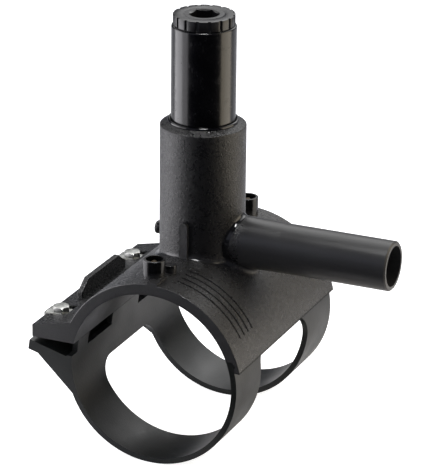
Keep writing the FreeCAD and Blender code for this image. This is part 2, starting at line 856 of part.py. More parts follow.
def fusion_indicator(x, y):
    """The small pin that rises out of its boss when the weld is made."""
    top = shell_radius + indicator_boss_rise
    radius = indicator_diameter / 2
    return upright(radius, top - indicator_length, top - 2 * running_clearance, x, y)


def heating_coil():
    """A flat spiral of resistance wire, bent round the fusion face."""
    return coil_path(coil_roof - coil_thickness, coil_roof)


def sub_parts():
    """Every node's name and solid."""
    low_tube_seal, high_tube_seal = tube_seal_heights()
    low_spindle_seal, high_spindle_seal = spindle_seal_heights()
    spindle_seal_radius = spindle_groove_radius + spindle_seal_section
    parts = {
        "saddle_body": saddle_body(),
        "lower_clamp": lower_clamp(),
        "valve_tube": valve_tube(),
        "tube_seal_lower": ring(tube_seal_section, tube_radius, low_tube_seal),
        "tube_seal_upper": ring(tube_seal_section, tube_radius, high_tube_seal),
        "crown_ring": crown_ring(),
        "spindle": spindle(),
        "spindle_seal_lower": ring(spindle_seal_section, spindle_seal_radius, low_spindle_seal),
        "spindle_seal_upper": ring(spindle_seal_section, spindle_seal_radius, high_spindle_seal),
        "thrust_washer": thrust_washer(),
        "guide_bush": guide_bush(),
        "cutter_holder": cutter_holder(),
        "cutter": cutter(),
        "heating_coil": heating_coil(),
    }
    for end, side in (("front", -1), ("rear", 1)):
        station = side * screw_station
        parts["clamp_screw_" + end] = clamp_screw(station)
        parts["clamp_washer_" + end] = clamp_washer(station)
        parts["clamp_nut_" + end] = clamp_nut(station)
        parts["terminal_pin_" + end] = terminal_pin(side * terminal_offset, side * terminal_station)
        place = (side * indicator_offset, side * indicator_station)
        parts["fusion_indicator_" + end] = fusion_indicator(*place)
    return parts


def main():
    """Write one STEP file for each node."""
    os.makedirs("parts", exist_ok=True)
    for name, shape in sub_parts().items():
        shape.exportStep("parts/" + name + ".step")
        valid = "valid" if shape.isValid() else "NOT VALID"
        print(name, valid, len(shape.Solids), "solid(s)", round(shape.Volume / 1000, 2), "cm3")


main()
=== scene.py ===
"""Electrofusion tapping saddle: finishes, fine metal parts and a studio for still pictures.

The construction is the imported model, which stays where it is. This script gives each solid
its finish, makes the small parts that show again with their threads and rounded edges, and
sets up the floor, the lamps and the camera. Lengths are in metres, sizes with mm in millimetres.
"""
import json
import math

import bpy
from mathutils import Matrix, Vector


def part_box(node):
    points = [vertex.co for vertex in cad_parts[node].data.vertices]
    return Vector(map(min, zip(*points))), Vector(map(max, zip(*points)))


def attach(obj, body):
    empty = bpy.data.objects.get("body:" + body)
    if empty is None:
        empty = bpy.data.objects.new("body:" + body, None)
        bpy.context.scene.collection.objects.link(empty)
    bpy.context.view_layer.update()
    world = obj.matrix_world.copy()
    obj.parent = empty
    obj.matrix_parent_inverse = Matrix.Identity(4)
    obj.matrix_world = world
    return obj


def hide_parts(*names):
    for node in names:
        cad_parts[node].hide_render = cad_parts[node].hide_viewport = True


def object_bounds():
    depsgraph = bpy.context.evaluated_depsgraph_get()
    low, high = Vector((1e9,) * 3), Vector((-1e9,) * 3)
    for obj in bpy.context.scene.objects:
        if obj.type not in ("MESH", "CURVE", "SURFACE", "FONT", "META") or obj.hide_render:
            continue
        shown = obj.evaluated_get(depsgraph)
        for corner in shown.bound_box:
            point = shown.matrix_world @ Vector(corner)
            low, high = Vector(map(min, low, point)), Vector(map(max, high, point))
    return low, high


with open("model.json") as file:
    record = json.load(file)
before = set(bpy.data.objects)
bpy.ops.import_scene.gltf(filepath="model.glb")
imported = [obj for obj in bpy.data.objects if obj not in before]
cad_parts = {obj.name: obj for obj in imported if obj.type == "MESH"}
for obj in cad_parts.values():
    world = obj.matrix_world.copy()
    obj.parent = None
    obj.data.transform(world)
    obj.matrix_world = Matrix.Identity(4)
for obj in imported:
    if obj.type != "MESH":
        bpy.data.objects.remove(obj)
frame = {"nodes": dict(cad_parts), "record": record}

cad_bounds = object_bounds()

bl_info = {
    "name": "Tapping saddle",
    "version": (1, 0, 0),
    "blender": (4, 5, 0),
    "location": "3D View > Sidebar > Saddle",
    "description": "Finishes a tapping saddle and sets up its studio",
    "category": "Object",
}

MM = 0.001
SAME_EDGE = MM / 10  # what lies nearer than this belongs to the same edge
DOUBLES = MM / 1000  # points nearer than this are merged
ROUND_SIDES = 48  # sides of a small round tool or bore
FINE_SIDES = 128  # sides of the crown ring and of the tube's lip
THREAD_STEPS = 24  # steps in one turn of a screw's thread
CHAMFER_RUN = 0.6 * math.sqrt(3)  # a chamfer's run inwards from the corner, for a height of 1
# One turn of a screw's thread: each point's share of the depth and of the pitch.
THREAD_FORM = ((0, 0.0), (1, 0.40), (1, 0.52), (0, 0.92), (0, 1.0))
ENDS = ("front", "rear")
SLOT_OF = {part["node"]: part["material_slot"] for part in frame["record"]["subparts"]}


def linear(hex_colour):
    """The linear colour of an sRGB hex value such as #8a8d8f."""
    shares = [int(hex_colour[place:place + 2], 16) / 255 for place in (1, 3, 5)]
    return tuple(s / 12.92 if s <= 0.04045 else ((s + 0.055) / 1.055) ** 2.4 for s in shares)


def colour(hex_colour, name, description):
    """A colour property whose default is an sRGB hex value."""
    return bpy.props.FloatVectorProperty(
        name=name, description=description, default=linear(hex_colour),
        subtype="COLOR", size=3, min=0.0, max=1.0)


def length(mm, name, description):
    """A length property whose default is given in millimetres."""
    return bpy.props.FloatProperty(
        name=name, description=description, default=mm * MM, min=0.0, unit="LENGTH", precision=5)


def angle(degrees, name, description):
    """An angle property whose default is given in degrees."""
    return bpy.props.FloatProperty(
        name=name, description=description, default=math.radians(degrees), subtype="ANGLE")


def level(value, name, description):
    """A plain number property, for a brightness or a share."""
    return bpy.props.FloatProperty(name=name, description=description, default=value, min=0.0)


def count(value, name, description):
    """A property that holds a whole number."""
    return bpy.props.IntProperty(name=name, description=description, default=value, min=1)


class SaddleFinishes(bpy.types.PropertyGroup):
    """Colours and grain of the materials."""
    polyethylene: colour("#0e0e0f", "Moulded polyethylene", "Black pipe-grade polyethylene")
    grey_skin: colour("#2c2c2c", "Grey skin", "Smooth polyethylene of the spigot, a little greyer")
    clamp_grey: colour("#121513", "Clamp grey", "Smooth polyethylene of the lower clamp")
    tube: colour("#060609", "Extruded polyethylene", "Black polyethylene of the polished tube")
    satin: colour("#131315", "Satin polyethylene", "Black plastic of the crown and the spindle")
    zinc: colour("#c8c9c5", "Zinc plate", "Bright zinc plating on the clamp's steel parts")
    brass: colour("#94784a", "Brass", "Turned brass of the bush, the holder and the washer")
    # The pins' brass is darkened here to paint the shade inside the terminal shrouds.
    pin_shade_brass: colour("#4a4034", "Tarnished brass", "Dull brass of the terminal pins")
    steel: colour("#8d9094", "Tool steel", "Ground steel of the cutter")
    rubber: colour("#151515", "Seal rubber", "Black rubber of the seals")
    wire: colour("#b98a63", "Resistance wire", "Copper-nickel alloy of the heating coil")
    erosion_grain: length(1.4, "Erosion grain", "Size of the spark-eroded grain")
    erosion_depth: length(0.38, "Erosion depth", "Height of the spark-eroded grain")
    eroded_relief: level(0.89, "Eroded relief", "Share of that height on the eroded parts")
    plain_relief: level(0.04, "Plain relief", "Share of that height on the plain parts")
    least_rough: level(0.19, "Least roughness", "Roughness of the moulding's brightest patches")
    most_rough: level(0.27, "Most roughness", "Roughness of the moulding's dullest patches")
    speckle_rough: level(0.14, "Speckle roughness", "Roughness that the grain's speckles add")
    plain_rough: level(0.10, "Plain roughness", "Roughness added on the spigot, bore and ends")
    foot_gloss: level(0.11, "Foot gloss", "Roughness taken off at the foot and the sockets")


class SaddleFittings(bpy.types.PropertyGroup):
    """Sizes of the small parts that are made here."""
    thread_pitch: length(1.0, "Screw thread pitch", "Pitch of the clamp screws' metric thread")
    thread_depth: length(0.55, "Screw thread depth", "Depth of the clamp screws' thread")
    head_chamfer: length(0.9, "Head chamfer", "Height of the chamfer round a screw head or nut")
    edge_round: length(0.25, "Edge rounding", "Rounding of the small steel parts' edges")
    washer_bend: length(1.0, "Washer bend", "Outer radius of the bend in a washer's tab")
    lip_section: length(2.2, "Lip section", "Thickness of the lip round the tube's foot")
    crown_edge: length(0.35, "Crown edge", "Rounding of the crown ring's edges")
    coil_wire: length(0.8, "Coil wire", "Diameter of the heating coil's wire")
    coil_turns: count(6, "Coil turns", "Turns of the heating coil")
    coil_inner: length(20.0, "Coil inner radius", "Radius at which the heating coil starts")
    coil_pitch: length(3.2, "Coil pitch", "Distance between the heating coil's turns")
    coil_depth: length(0.75, "Coil depth", "Depth of the recess that the coil lies in")
    washer_thickness: length(1.2, "Washer thickness", "Thickness of the clamp's washers")
    hole_play: length(0.3, "Hole play", "Play of the clamp screws in their holes")
    nut_play: length(0.05, "Nut play", "Play of the clamp screws in their nuts")
    crown_slots: count(16, "Crown slots", "Slots round the crown ring")
    crown_slot_shift: level(0.5, "Crown slot shift", "Turn of the slots, in slot spacings")
    crown_slot_width: length(2.0, "Crown slot width", "Width of the crown ring's slots")
    crown_slot_depth: length(1.2, "Crown slot depth", "Depth of the crown ring's slots")
    crown_seam_depth: length(0.9, "Crown seam depth", "Depth of the seam under the crown's rim")


class SaddleStudio(bpy.types.PropertyGroup):
    """The camera, the lamps and the floor."""
    azimuth: angle(23.76, "Camera azimuth", "Turn of the camera about the tower")
    elevation: angle(21.0, "Camera elevation", "Height of the camera above the horizontal")
    roll: angle(0.6, "Camera roll", "Turn of the camera about its own axis")
    distance: length(1913.24, "Camera distance", "Distance from the aim point to the camera")
    focal_length: bpy.props.FloatProperty(
        name="Focal length", description="Focal length on a 36 mm wide frame", default=230.70,
        unit="CAMERA")
    aim_height: length(60.0, "Aim height", "Height above the main's axis of the point aimed at")
    aim_right: length(8.24, "Aim to the right", "Sideways shift of the camera")
    aim_up: length(9.50, "Aim upwards", "Upward shift of the camera")
    lamp_aim: length(80.0, "Lamp aim", "Height above the main's axis of the lamps' aim point")
    left_light: colour("#fdfbff", "Left light", "Colour of the soft light on the screw side")
    right_light: colour("#fff2da", "Right light", "Colour of the soft light on the outlet side")
    room_light: colour("#e6eaff", "Room light", "Colour of the room's dim light")
    plain_light: colour("#ffffff", "Plain light", "Colour of the lamps above and behind")
    left_radiance: level(1.8, "Left light level", "Brightness of the left softbox's face")
    core_radiance: level(2.0, "Left core level", "Brightness added at the left softbox's middle")
    right_radiance: level(2.3, "Right light level", "Brightness of the right softbox's face")
    top_radiance: level(1.9, "Top light level", "Brightness of the top softbox's face")
    back_radiance: level(0.8, "Back light level", "Brightness of the panel behind the object")
    back_core_radiance: level(1.5, "Back core level", "Brightness added at the back panel's middle")
    front_radiance: level(0.36, "Front light level", "Brightness of the dim panel in front")
    glint_radiance: level(90.0, "Glint lamp level", "Brightness of the small lamp above")
    fill_level: level(0.25, "Fill level", "Brightness of the room on matt surfaces")
    reflection_level: level(0.06, "Reflection level", "Brightness of the room in reflections")
    floor_white: level(0.82, "Floor whiteness", "Share of the light that the floor scatters")
    floor_glow: level(0.86, "Floor glow", "Share of the floor's whiteness that no shadow darkens")
    floor_size: length(40000.0, "Floor size", "Width of the floor")
    card_near: length(130.0, "Card start", "Distance from the tower's axis to the dark card")
    card_far: length(2200.0, "Card end", "Distance from the tower's axis to the card's far edge")
    card_width: length(1600.0, "Card width", "Width of the dark card on the floor")


def deselect_all():
    """Leave edit mode and clear the selection, which an operator would otherwise act on."""
    if bpy.context.object and bpy.context.object.mode != "OBJECT":
        bpy.ops.object.mode_set(mode="OBJECT")
    bpy.ops.object.select_all(action="DESELECT")


def make_active(piece):
    """Select one piece alone and make it the active one."""
    deselect_all()
    piece.select_set(True)
    bpy.context.view_layer.objects.active = piece


def finish_modifier(piece, kind, **choices):
    """Add a modifier with its settings and apply it."""
    make_active(piece)
    modifier = piece.modifiers.new(kind.title(), kind)
    for name, value in choices.items():
        setattr(modifier, name, value)
    bpy.ops.object.modifier_apply(modifier=modifier.name)


def combine(piece, tool, operation):
    """Cut, join or intersect a piece with a tool, which is used up."""
    finish_modifier(piece, "BOOLEAN", operation=operation, object=tool, solver="EXACT")
    bpy.data.objects.remove(tool)


def drawn_line(name, points):
    """A line drawn from point to point by extruding one vertex."""
    deselect_all()
    bpy.ops.mesh.primitive_plane_add(size=MM)
    piece = bpy.context.object
    piece.name = name
    bpy.ops.object.mode_set(mode="EDIT")
    bpy.ops.mesh.select_mode(type="VERT")
    bpy.ops.mesh.select_all(action="SELECT")
    bpy.ops.mesh.merge(type="CENTER")
    bpy.ops.transform.translate(value=points[0])
    for start, end in zip(points, points[1:]):
        step = Vector(end) - Vector(start)
        bpy.ops.mesh.extrude_vertices_move(TRANSFORM_OT_translate={"value": step})
    return piece


def turned(name, profile, steps):
    """A solid turned about the vertical axis from a closed list of (radius, height) points."""
    points = [(radius, 0, height) for radius, height in profile]
    piece = drawn_line(name, points + points[:1])
    bpy.ops.mesh.select_all(action="SELECT")
    bpy.ops.mesh.spin(steps=steps, angle=2 * math.pi, center=(0, 0, 0), axis=(0, 0, 1))
    close_shell()
    return piece


def close_shell():
    """Merge doubles, turn the faces outwards and leave edit mode."""
    bpy.ops.mesh.select_all(action="SELECT")
    bpy.ops.mesh.remove_doubles(threshold=DOUBLES)
    bpy.ops.mesh.dissolve_degenerate(threshold=DOUBLES)
    bpy.ops.mesh.normals_make_consistent(inside=False)
    bpy.ops.object.mode_set(mode="OBJECT")


def settled(name):
    """The primitive that was just added, under its name and with its place in its mesh."""
    piece = bpy.context.object
    piece.name = name
    bpy.ops.object.transform_apply(location=True, rotation=True, scale=True)
    return piece


def prism(name, sides, radius, low, high):
    """An upright prism about the vertical axis, with a corner towards the outlet."""
    deselect_all()
    bpy.ops.mesh.primitive_cylinder_add(
        vertices=sides, radius=radius, depth=high - low, location=(0, 0, (low + high) / 2),
        rotation=(0, 0, math.pi / 2))
    return settled(name)


def box(name, low, high):
    """A box between two opposite corners, before it is shaped."""
    deselect_all()
    size = [b - a for a, b in zip(low, high)]
    centre = [(a + b) / 2 for a, b in zip(low, high)]
    bpy.ops.mesh.primitive_cube_add(size=1, location=centre, scale=size)
    return settled(name)


def chamfered_hexagon(name, width, low, high, chamfers):
    """A hexagon whose corners are turned off by a cone at the named ends."""
    corner = width / math.sqrt(3)
    drop = settings("fittings").head_chamfer
    inner = corner - CHAMFER_RUN * drop
    outer = corner + CHAMFER_RUN * drop / 3
    profile = [(0, low)]
    profile += [(inner, low), (outer, low + drop)] if "low" in chamfers else [(outer, low)]
    profile += [(outer, high - drop), (inner, high)] if "high" in chamfers else [(outer, high)]
    profile.append((0, high))
    piece = prism(name, 6, corner, low, high)
    combine(piece, turned("chamfer_tool", profile, ROUND_SIDES), "INTERSECT")
    return piece


def threaded_rod(name, radius, low, high):
    """A rod with a real helical thread, wound one turn past both ends and cut square there."""
    fittings = settings("fittings")
    pitch, depth = fittings.thread_pitch, fittings.thread_depth
    first = low - pitch
    turns = math.ceil((high - low) / pitch) + 2
    points = [(radius - depth + out * depth, 0, first + up * pitch) for out, up in THREAD_FORM]
    rod = drawn_line(name, points)
    bpy.ops.object.mode_set(mode="OBJECT")
    finish_modifier(
        rod, "SCREW", angle=2 * math.pi, screw_offset=pitch, iterations=turns,
        steps=THREAD_STEPS, render_steps=THREAD_STEPS, use_merge_vertices=True,
        use_normal_calculate=True)
    bpy.ops.object.mode_set(mode="EDIT")
    for height, outwards in ((high, 1), (low, -1)):
        bpy.ops.mesh.select_all(action="SELECT")
        bpy.ops.mesh.bisect(
            plane_co=(0, 0, height), plane_no=(0, 0, outwards), use_fill=True, clear_outer=True)
    close_shell()
    return rod


def shade(piece, degrees=30):
    """Smooth the faces that meet at less than the given angle."""
    make_active(piece)
    bpy.ops.object.shade_smooth_by_angle(angle=math.radians(degrees))


def soften_edges(piece, width, degrees=30):
    """Round the edges of a finished piece that are sharper than the given angle."""
    finish_modifier(
        piece, "BEVEL", width=width, segments=2, limit_method="ANGLE",
        angle_limit=math.radians(degrees), harden_normals=False, use_clamp_overlap=True)


def move_into_place(piece, place):
    """Move a piece's mesh to its place and leave its object at the origin."""
    make_active(piece)
    piece.location = place
    bpy.ops.object.transform_apply(location=True, rotation=True, scale=True)


def copy_to(piece, name, step):
    """A copy with a mesh of its own, moved by a step."""
    twin = piece.copy()
    twin.data = piece.data.copy()
    twin.name = name
    bpy.context.scene.collection.objects.link(twin)
    move_into_place(twin, step)
    return twin


def deliver(piece, body, node):
    """Finish a piece that stands for a node: give it the material of the node's slot and its body,
    and hide the node.
    """
    slot = SLOT_OF[node]
    piece.data.materials.clear()
    piece.data.materials.append(MATERIALS[slot]())
    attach(piece, body)
    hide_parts(node)


def deliver_pair(front, stem, finish):
    """Deliver a piece that stands at its front node, and a copy of it at the rear node."""
    step = middle(f"{stem}_rear")[1] - middle(f"{stem}_front")[1]
    front.name = f"{stem}_front_{finish}"
    rear = copy_to(front, f"{stem}_rear_{finish}", (0, step, 0))
    for end, piece in zip(ENDS, (front, rear)):
        deliver(piece, "saddle", f"{stem}_{end}")


def middle(node):
    """The centre of a node's box in plan, and its lowest and highest point."""
    low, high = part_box(node)
    return (low.x + high.x) / 2, (low.y + high.y) / 2, low.z, high.z


def settings(group):
    """One of the three groups of settings: finishes, fittings or studio."""
    return getattr(bpy.context.scene, f"saddle_{group}")


def add_node(tree, kind, inputs, **choices):
    """Add a shader node, set or link its inputs, and return its outputs."""
    node = tree.nodes.new(f"ShaderNode{kind}")
    for name, value in choices.items():
        setattr(node, name, value)
    for socket, source in inputs.items():
        if isinstance(source, bpy.types.NodeSocket):
            tree.links.new(source, node.inputs[socket])
        else:
            node.inputs[socket].default_value = source
    return node.outputs


def new_material(name, base, values):
    """A material in one of the finishes' colours, with its tree, shader and coordinates."""
    material = bpy.data.materials.new(name)
    material.use_nodes = True
    tree = material.node_tree
    shader = tree.nodes["Principled BSDF"]
    shader.inputs["Base Color"].default_value = (*getattr(settings("finishes"), base), 1)
    for socket, value in values.items():
        shader.inputs[socket].default_value = value
    place = add_node(tree, "TexCoord", {})["Object"]
    return material, tree, shader, place


def dress(tree, shader, gloss, shade, relief=None):
    """Give a surface its gloss, shade and relief, and return its roughness and its colour.

    Each is a pattern with two numbers: the least and the most roughness, the darkest and the
    lightest share of the base colour, and the relief's depth in metres and its strength.
    """
    pattern, least, most = gloss
    roughness = add_node(tree, "MapRange", {
        "Value": pattern, "From Min": 0.3, "From Max": 0.7,
        "To Min": least, "To Max": most})["Result"]
    tree.links.new(roughness, shader.inputs["Roughness"])
    pattern, darkest, lightest = shade
    tone = add_node(tree, "ValToRGB", {"Fac": pattern})["Color"]
    marks = tone.node.color_ramp.elements
    base = shader.inputs["Base Color"].default_value[:3]
    for mark, share, position in zip(marks, (darkest, lightest), (0.35, 0.65)):
        mark.color = (*(min(1, part * share) for part in base), 1)
        mark.position = position
    tree.links.new(tone, shader.inputs["Base Color"])
    if relief:
        height, depth, strength = relief
        bump = add_node(tree, "Bump", {"Height": height, "Distance": depth, "Strength": strength})
        tree.links.new(bump["Normal"], shader.inputs["Normal"])
    return roughness, tone


def once(maker):
    """Keep a material after it is first made, so that all its pieces share it."""
    made = []

    def get():
        if not made:
            made.append(maker())
        return made[0]
    return get


# Where the saddle body's finish changes, in mm: each change has a start and an end.
CHANGES = {
    "spigot_skin": (0.4, 2),  # outside the spigot's radius
    "spigot_root": (30, 33),  # along the spigot from the tower's axis
    "foot_inside": (27.55, 27.9),  # from the tower's axis, just clear of its face
    "foot_outside": (30.2, 31),
    "foot_top": (20, 30),  # above the spigot's axis
    "rib_side": (2.9, 3.1),  # from the rib's middle
    "bore_skin": (1, 1.8),  # outside the main's radius, as the next four are
    # Past this the strip of painted shade along the shell's lower edge begins.
    "shade_strip_inside": (4, 5),
    "skin_inside": (5.5, 6.5),
    "socket_foot": (7.4, 8),
    "skin_outside": (8.5, 12),
    "socket_side": (0, 0.5),  # outside a socket's radius
    # This and the next bound the strip of painted shade along the shell's lower edge.
    "shade_strip_side": (0, 1),  # from the tower's axis towards the outlet
    "shade_strip_top": (13.7, 14.1),  # above the main's axis, as the skin's foot is
    "skin_foot": (13, 15),
    "end_skin": (-0.6, -0.2),  # from the moulding's end outwards
}
SOCKET_RADII = {"terminal_pin_rear": 7.3, "fusion_indicator_rear": 4.3}  # in mm


def away(tree, first, second):
    """The distance from an axis, from the two coordinates across it."""
    squared = add_node(tree, "Math", {0: second, 1: second}, operation="MULTIPLY")[0]
    both = add_node(tree, "Math", {0: first, 1: first, 2: squared}, operation="MULTIPLY_ADD")[0]
    return add_node(tree, "Math", {0: both}, operation="SQRT")[0]


def up_to(tree, value, change, start=0.0):
    """A mask that is 1 up to a change of finish, measured from a start, and 0 past it."""
    first, last = (start + mm * MM for mm in CHANGES[change])
    return add_node(tree, "MapRange", {
        "Value": value, "From Min": first, "From Max": last, "To Min": 1, "To Max": 0})[0]


def beyond(tree, value, change, start=0.0):
    """A mask that is 0 up to a change of finish, measured from a start, and 1 past it."""
    first, last = (start + mm * MM for mm in CHANGES[change])
    return add_node(tree, "MapRange", {
        "Value": value, "From Min": first, "From Max": last, "To Min": 0, "To Max": 1})[0]


def overlap(tree, *masks):
    """The mask of what lies in every one of the given masks."""
    whole = masks[0]
    for mask in masks[1:]:
        whole = add_node(tree, "Math", {0: whole, 1: mask}, operation="MULTIPLY")[0]
    return whole


def joined(tree, *masks):
    """The mask of what lies in any of the given masks."""
    whole = masks[0]
    for mask in masks[1:]:
        whole = add_node(tree, "Math", {0: whole, 1: mask}, operation="MAXIMUM")[0]
    return whole


def moulding_zones(tree, place):
    """The masks of the moulding's spigot, foot, sockets, bore, skin, lower edge with painted shade,
    rib and ends.
    """
    axis_height = frame_mount("outlet_spigot")["pos_m"][2]
    spigot_radius = frame_mount("outlet_spigot")["dims"]["r_mm"] * MM
    bore_radius = frame_mount("main_pipe")["dims"]["r_mm"] * MM
    split = add_node(tree, "SeparateXYZ", {"Vector": place})
    x, y, z = (split[axis] for axis in "XYZ")
    across = add_node(tree, "Math", {0: x}, operation="ABSOLUTE")[0]
    along = add_node(tree, "Math", {0: y}, operation="ABSOLUTE")[0]
    above = add_node(tree, "Math", {0: z, 1: axis_height}, operation="SUBTRACT")[0]
    from_spigot, from_tower, from_main = away(tree, y, above), away(tree, x, y), away(tree, x, z)
    spigot = overlap(
        tree, up_to(tree, from_spigot, "spigot_skin", spigot_radius),
        beyond(tree, x, "spigot_root"))
    foot = overlap(
        tree, beyond(tree, from_tower, "foot_inside"), up_to(tree, from_tower, "foot_outside"),
        up_to(tree, z, "foot_top", axis_height))
    rib = overlap(tree, foot, up_to(tree, across, "rib_side"))
    foot = add_node(tree, "Math", {0: foot, 1: rib}, operation="SUBTRACT")[0]
    bore = up_to(tree, from_main, "bore_skin", bore_radius)
    skin = overlap(
        tree, beyond(tree, from_main, "skin_inside", bore_radius),
        up_to(tree, from_main, "skin_outside", bore_radius), beyond(tree, z, "skin_foot"))
    # Painted shade: a strip along the shell's lower edge on the outlet side, which reflects less to
    # stand for the shadow at the step down to the clamp.
    edge = overlap(
        tree, beyond(tree, from_main, "shade_strip_inside", bore_radius),
        beyond(tree, x, "shade_strip_side"), up_to(tree, z, "shade_strip_top"))
    # The front end is the rear end turned about the tower, so the rear sockets serve for both.
    side = add_node(tree, "Math", {0: y}, operation="SIGN")[0]
    turned_x = add_node(tree, "Math", {0: x, 1: side}, operation="MULTIPLY")[0]
    rings = []
    for node, radius in SOCKET_RADII.items():
        x_place, y_place = middle(node)[:2]
        step_x = add_node(tree, "Math", {0: turned_x, 1: x_place}, operation="SUBTRACT")[0]
        step_y = add_node(tree, "Math", {0: along, 1: y_place}, operation="SUBTRACT")[0]
        rings.append(up_to(tree, away(tree, step_x, step_y), "socket_side", radius * MM))
    sockets = overlap(
        tree, joined(tree, *rings), beyond(tree, from_main, "socket_foot", bore_radius))
    ends = beyond(tree, along, "end_skin", cad_bounds[1][1])
    return spigot, foot, sockets, bore, skin, edge, rib, ends


POLYETHYLENE = {"IOR": 1.51}
RUBBER = {"IOR": 1.52}
METAL = {"Metallic": 1.0}
COARSER, FINER = 2.5, 0.45  # the sizes of the mottle and of the pits, as shares of the grain's
RIB_SHARE = 0.5  # how far the rib's finish is that of the plain parts
ENDS_SHARE = 0.6  # how far the grain is smoothed away at the ends
REFLECTING, SHADED_EDGE_SPECULAR = 0.5, 0.1  # how strongly the moulding reflects, and its lower edge, whose weaker reflection is painted shade


@once
def eroded_polyethylene():
    """Injection-moulded black polyethylene from a spark-eroded tool: matt, with a fine crisp grain.

    The spigot, the bore and the ends are moulded in plain parts of the tool, so they are smooth
    and satin. The tower's foot and the sockets have more gloss, the spigot and the shell's skin
    are a little greyer, and the lower edge on the outlet side reflects less, which paints the
    shade at the step down to the clamp.
    """
    finishes = settings("finishes")
    material, tree, shader, place = new_material(
        "polyethylene_spark_eroded", "polyethylene", POLYETHYLENE)
    spigot, foot, sockets, bore, skin, edge, rib, ends = moulding_zones(tree, place)
    rib = add_node(tree, "Math", {0: rib, 1: RIB_SHARE}, operation="MULTIPLY")[0]
    smoothed_ends = add_node(tree, "Math", {0: ends, 1: ENDS_SHARE}, operation="MULTIPLY")[0]
    smooth = joined(tree, spigot, foot, sockets, bore, smoothed_ends)
    rough = add_node(tree, "Math", {0: 1.0, 1: smooth}, operation="SUBTRACT")[0]
    per_metre = 1 / finishes.erosion_grain
    grain = add_node(tree, "TexNoise", {
        "Vector": place, "Scale": per_metre, "Detail": 3, "Roughness": 0.65})["Fac"]
    mottle = add_node(tree, "TexNoise", {
        "Vector": place, "Scale": per_metre / COARSER, "Detail": 3, "Roughness": 0.7})["Fac"]
    pits = add_node(tree, "TexNoise", {"Vector": place, "Scale": per_metre / FINER})["Fac"]
    wide = add_node(tree, "TexNoise", {
        "Vector": place, "Scale": 1 / (22 * MM), "Detail": 3, "Roughness": 0.55})["Fac"]
    height = add_node(tree, "Math", {0: grain, 1: pits}, operation="ADD")[0]
    strength = add_node(
        tree, "Math", {0: rough, 1: finishes.eroded_relief - finishes.plain_relief,
                       2: finishes.plain_relief}, operation="MULTIPLY_ADD")[0]
    patches, grained = dress(
        tree, shader, gloss=(wide, finishes.least_rough, finishes.most_rough),
        shade=(grain, 0.75, 1.45), relief=(height, finishes.erosion_depth, strength))
    speckles = add_node(tree, "MapRange", {
        "Value": mottle, "From Min": 0.38, "From Max": 0.62,
        "To Min": 0, "To Max": finishes.speckle_rough})["Result"]
    roughness = patches
    for mask, added in ((speckles, rough),
                        (joined(tree, spigot, bore, rib, ends), finishes.plain_rough),
                        (joined(tree, foot, sockets), -finishes.foot_gloss)):
        roughness = add_node(
            tree, "Math", {0: mask, 1: added, 2: roughness}, operation="MULTIPLY_ADD")[0]
    tree.links.new(roughness, shader.inputs["Roughness"])
    tone = add_node(tree, "Mix", {
        "Factor": joined(tree, spigot, skin, rib, ends), "A": grained,
        "B": (*finishes.grey_skin, 1)}, data_type="RGBA")["Result"]
    tree.links.new(tone, shader.inputs["Base Color"])
    # Painted shade: the lower edge reflects less here, standing for the shadow at the step down to
    # the clamp.
    reflecting = add_node(
        tree, "Math", {0: edge, 1: SHADED_EDGE_SPECULAR - REFLECTING, 2: REFLECTING},
        operation="MULTIPLY_ADD")[0]
    tree.links.new(reflecting, shader.inputs["Specular IOR Level"])
    return material


@once
def smooth_polyethylene():
    """The lower clamp's black polyethylene, moulded smooth: an even satin, slightly cool grey."""
    material, tree, shader, place = new_material("polyethylene_smooth", "clamp_grey", POLYETHYLENE)
    fine = add_node(tree, "TexNoise", {"Vector": place, "Scale": 1 / (1.2 * MM)})["Fac"]
    flow = add_node(tree, "TexNoise", {
        "Vector": place, "Scale": 1 / (26 * MM), "Detail": 3, "Roughness": 0.6})["Fac"]
    dress(tree, shader, gloss=(flow, 0.28, 0.42), shade=(flow, 0.8, 1.3),
          relief=(fine, 0.10 * MM, 0.6))
    return material


def glossy_polyethylene(name, least, most, scuffed, wave):
    """Black polyethylene with a gloss between two roughnesses, scuffs, and waves in mm deep."""
    material, tree, shader, place = new_material(name, "tube", POLYETHYLENE)
    along = add_node(tree, "Mapping", {"Vector": place, "Scale": (1, 1, 0.08)})["Vector"]
    draw = add_node(tree, "TexNoise", {"Vector": along, "Scale": 1 / (2.5 * MM)})["Fac"]
    waves = add_node(tree, "TexNoise", {
        "Vector": place, "Scale": 1 / (14 * MM), "Detail": 1, "Roughness": 0.4})["Fac"]
    scuffs = add_node(tree, "TexNoise", {
        "Vector": place, "Scale": 1 / (5 * MM), "Detail": 4, "Roughness": 0.7})["Fac"]
    # The draw is only faint beside the waves.
    height = add_node(tree, "Math", {0: draw, 1: 0.03, 2: waves}, operation="MULTIPLY_ADD")[0]
    clean = dress(tree, shader, gloss=(waves, least, most), shade=(waves, 0.9, 1.2),
                  relief=(height, wave * MM, 0.7))[0]
    worn = add_node(tree, "MapRange", {
        "Value": scuffs, "From Min": 0.52, "From Max": 0.68, "To Min": 0, "To Max": scuffed})[0]
    roughness = add_node(tree, "Math", {0: clean, 1: worn}, operation="ADD")[0]
    tree.links.new(roughness, shader.inputs["Roughness"])
    return material


@once
def polished_polyethylene():
    """Extruded and polished black polyethylene pipe: glossy, with a faint draw and light scuffs."""
    return glossy_polyethylene(
        "polyethylene_polished", least=0.17, most=0.23, scuffed=0.12, wave=0.12)


@once
def welded_polyethylene():
    """Black polyethylene that was molten: the lip at the tube's foot, with a deep wet gloss."""
    return glossy_polyethylene(
        "polyethylene_molten", least=0.07, most=0.10, scuffed=0.0, wave=0.02)


@once
def satin_plastic():
    """Moulded black plastic from a plain tool: an even satin sheen with faint flow marks."""
    material, tree, shader, place = new_material("polyethylene_satin", "satin", POLYETHYLENE)
    fine = add_node(tree, "TexNoise", {"Vector": place, "Scale": 1 / (0.8 * MM)})["Fac"]
    flow = add_node(tree, "TexNoise", {"Vector": place, "Scale": 1 / (9 * MM)})["Fac"]
    dress(tree, shader, gloss=(flow, 0.27, 0.36), shade=(flow, 0.85, 1.25),
          relief=(fine, 0.03 * MM, 0.5))
    return material


